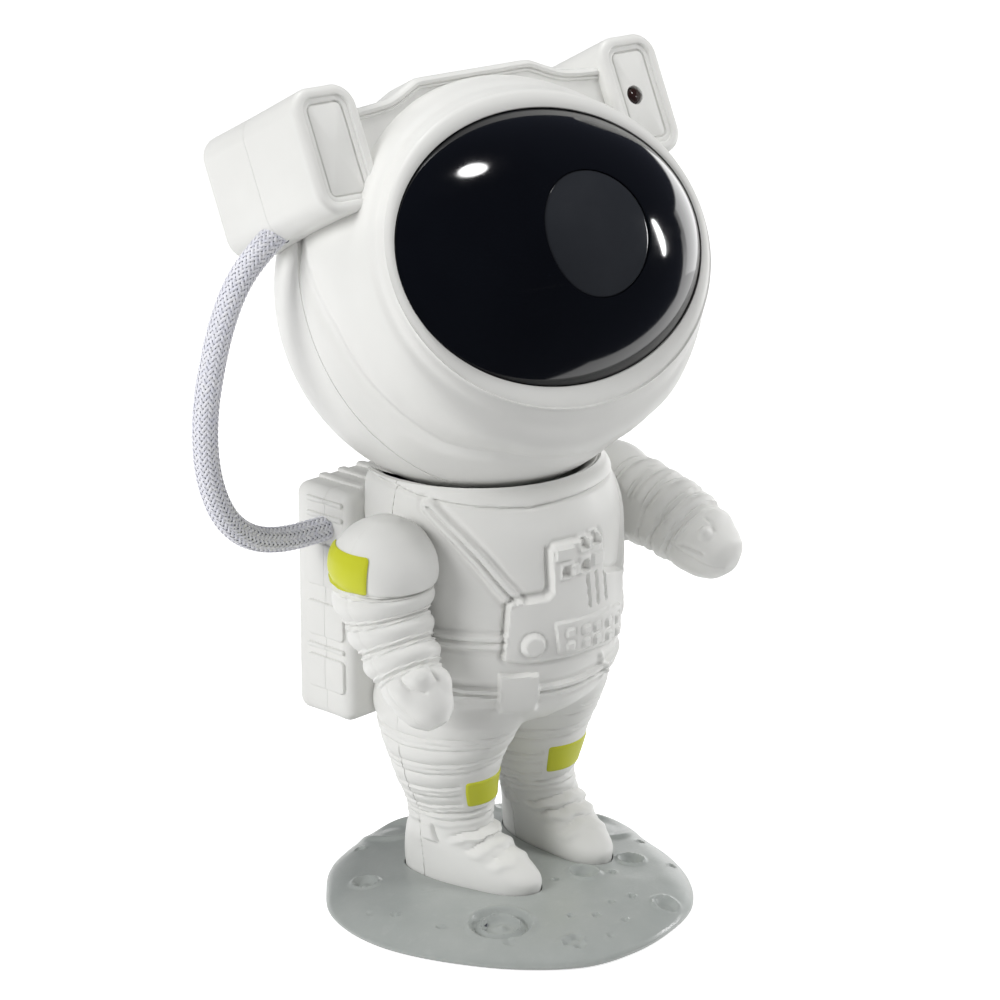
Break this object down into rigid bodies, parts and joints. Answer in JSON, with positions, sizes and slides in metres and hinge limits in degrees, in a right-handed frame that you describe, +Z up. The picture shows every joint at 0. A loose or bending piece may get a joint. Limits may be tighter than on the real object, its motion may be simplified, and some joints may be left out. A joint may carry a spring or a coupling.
{
  "type": "planetarium projector",
  "caption": "Star and nebula projector shaped as a standing astronaut on a cratered base, with a turning, tilting head, swinging arms, buttons and a braided hose.",
  "frame": {"origin": "under the head's turning axis, on the surface that the projector stands on", "axes": "+Z up, -Y is the way the astronaut faces, +X is its left hand"},
  "size_m": [0.1476, 0.121, 0.2278],
  "materials": {
    "suit_white": "fine matt moulded texture",
    "visor_black": "high gloss",
    "window_smoke": "smoked, polished",
    "base_grey": "matt, cratered",
    "hose_white": "open braid",
    "grommet_grey": "matt",
    "pad_black": "foam",
    "screw_steel": "zinc plated",
    "magnet_nickel": "nickel plated",
    "keeper_steel": "brushed",
    "board_green": "solder mask",
    "emitter_yellow": "satin",
    "cooler_aluminium": "extruded",
    "laser_brass": "turned",
    "motor_steel": "satin",
    "gear_nylon": "natural",
    "ripple_acrylic": "rippled",
    "grating_film": "fine grating",
    "lens_clear": "polished",
    "frame_black": "matt",
    "seat_white": "satin",
    "washer_white": "satin",
    "switch_black": "satin",
    "socket_steel": "bright",
    "receiver_dark": "dark translucent red-brown",
    "button_grey": "satin"
  },
  "bodies": {
    "torso": {"moon_base": "base_grey", "base_bottom_plate": "base_grey", "anti_slip_pad": "pad_black", "base_plate_screws": "screw_steel", "boot_screws": "screw_steel", "body_front_shell": "suit_white", "body_back_shell": "suit_white", "body_screws": "screw_steel", "neck_seat": "seat_white", "shoulder_washers": "washer_white", "backpack_front_shell": "suit_white", "backpack_back_shell": "suit_white", "backpack_mount_screws": "screw_steel", "backpack_cover_screws": "screw_steel", "hose_grommet_backpack": "grommet_grey", "umbilical_hose_lower": "hose_white"},
    "neck_swivel": {"neck_magnet": "magnet_nickel"},
    "head": {"helmet_front_shell": "suit_white", "helmet_back_shell": "suit_white", "helmet_screws": "screw_steel", "earpod_right_front": "suit_white", "earpod_right_back": "suit_white", "earpod_left_front": "suit_white", "earpod_left_back": "suit_white", "brow_band": "suit_white", "visor": "visor_black", "projection_lens": "window_smoke", "lens_holder": "frame_black", "ir_receiver": "receiver_dark", "optics_frame": "frame_black", "frame_screws": "screw_steel", "condenser_lens": "lens_clear", "led_board": "cooler_aluminium", "led_emitters": "emitter_yellow", "heat_sink": "cooler_aluminium", "laser_module": "laser_brass", "drive_motor": "motor_steel", "disc_axle": "motor_steel", "control_board": "board_green", "board_screws": "screw_steel", "tact_switches": "switch_black", "usb_socket": "socket_steel", "head_keeper_plate": "keeper_steel", "hose_grommet_earpod": "grommet_grey", "umbilical_hose_upper": "hose_white"},
    "ripple_disc": {"ripple_disc": "ripple_acrylic"},
    "motor_pinion": {"motor_pinion": "gear_nylon"},
    "grating_wheel": {"grating_wheel": "grating_film"},
    "power_button": {"power_button": "button_grey"},
    "nebula_button": {"nebula_button": "button_grey"},
    "star_button": {"star_button": "button_grey"},
    "right_arm": {"right_arm_front": "suit_white", "right_arm_back": "suit_white", "right_shoulder_pin": "screw_steel"},
    "left_arm": {"left_arm_front": "suit_white", "left_arm_back": "suit_white", "left_shoulder_pin": "screw_steel"}
  },
  "joints": [
    {"name": "head_turn", "type": "hinge", "parent": "torso", "child": "neck_swivel", "pos_m": [0, 0.0133, 0.1677], "axis": [0, 0, 1], "range_deg": [-28, 42], "deforming": ["umbilical_hose_lower"]},
    {"name": "head_tilt", "type": "hinge", "parent": "neck_swivel", "child": "head", "pos_m": [0, 0.0133, 0.1677], "axis": [0.9923, -0.1241, 0], "range_deg": [-20, 12], "deforming": ["umbilical_hose_upper"]},
    {"name": "right_arm_swing", "type": "hinge", "parent": "torso", "child": "right_arm", "pos_m": [-0.036, 0.006, 0.1036], "axis": [1, 0, 0], "range_deg": [-60, 25]},
    {"name": "left_arm_swing", "type": "hinge", "parent": "torso", "child": "left_arm", "pos_m": [0.036, 0.006, 0.1036], "axis": [1, 0, 0], "range_deg": [-15, 70]},
    {"name": "disc_spin", "type": "hinge", "parent": "head", "child": "ripple_disc", "pos_m": [-0.01992, -0.009, 0.16993], "axis": [0.111, 0.8876, -0.447], "continuous": true},
    {"name": "pinion_spin", "type": "hinge", "parent": "head", "child": "motor_pinion", "pos_m": [0.00564, -0.01423, 0.16589], "axis": [0.111, 0.8876, -0.447], "continuous": true},
    {"name": "wheel_spin", "type": "hinge", "parent": "head", "child": "grating_wheel", "pos_m": [0.00943, -0.01202, 0.18017], "axis": [0.111, 0.8876, -0.447], "continuous": true},
    {"name": "power_press", "type": "slide", "parent": "head", "child": "power_button", "axis": [-0.111, -0.8876, 0.447], "range_m": [0, 0.0008], "stiffness_N_per_m": 300, "springref_m": -0.0025},
    {"name": "nebula_press", "type": "slide", "parent": "head", "child": "nebula_button", "axis": [-0.111, -0.8876, 0.447], "range_m": [0, 0.0008], "stiffness_N_per_m": 300, "springref_m": -0.0025},
    {"name": "star_press", "type": "slide", "parent": "head", "child": "star_button", "axis": [-0.111, -0.8876, 0.447], "range_m": [0, 0.0008], "stiffness_N_per_m": 300, "springref_m": -0.0025}
  ],
  "couplings": [
    {"joint": "pinion_spin", "follows": "disc_spin", "ratio": -5.6},
    {"joint": "wheel_spin", "follows": "disc_spin", "ratio": 2.1538}
  ]
}
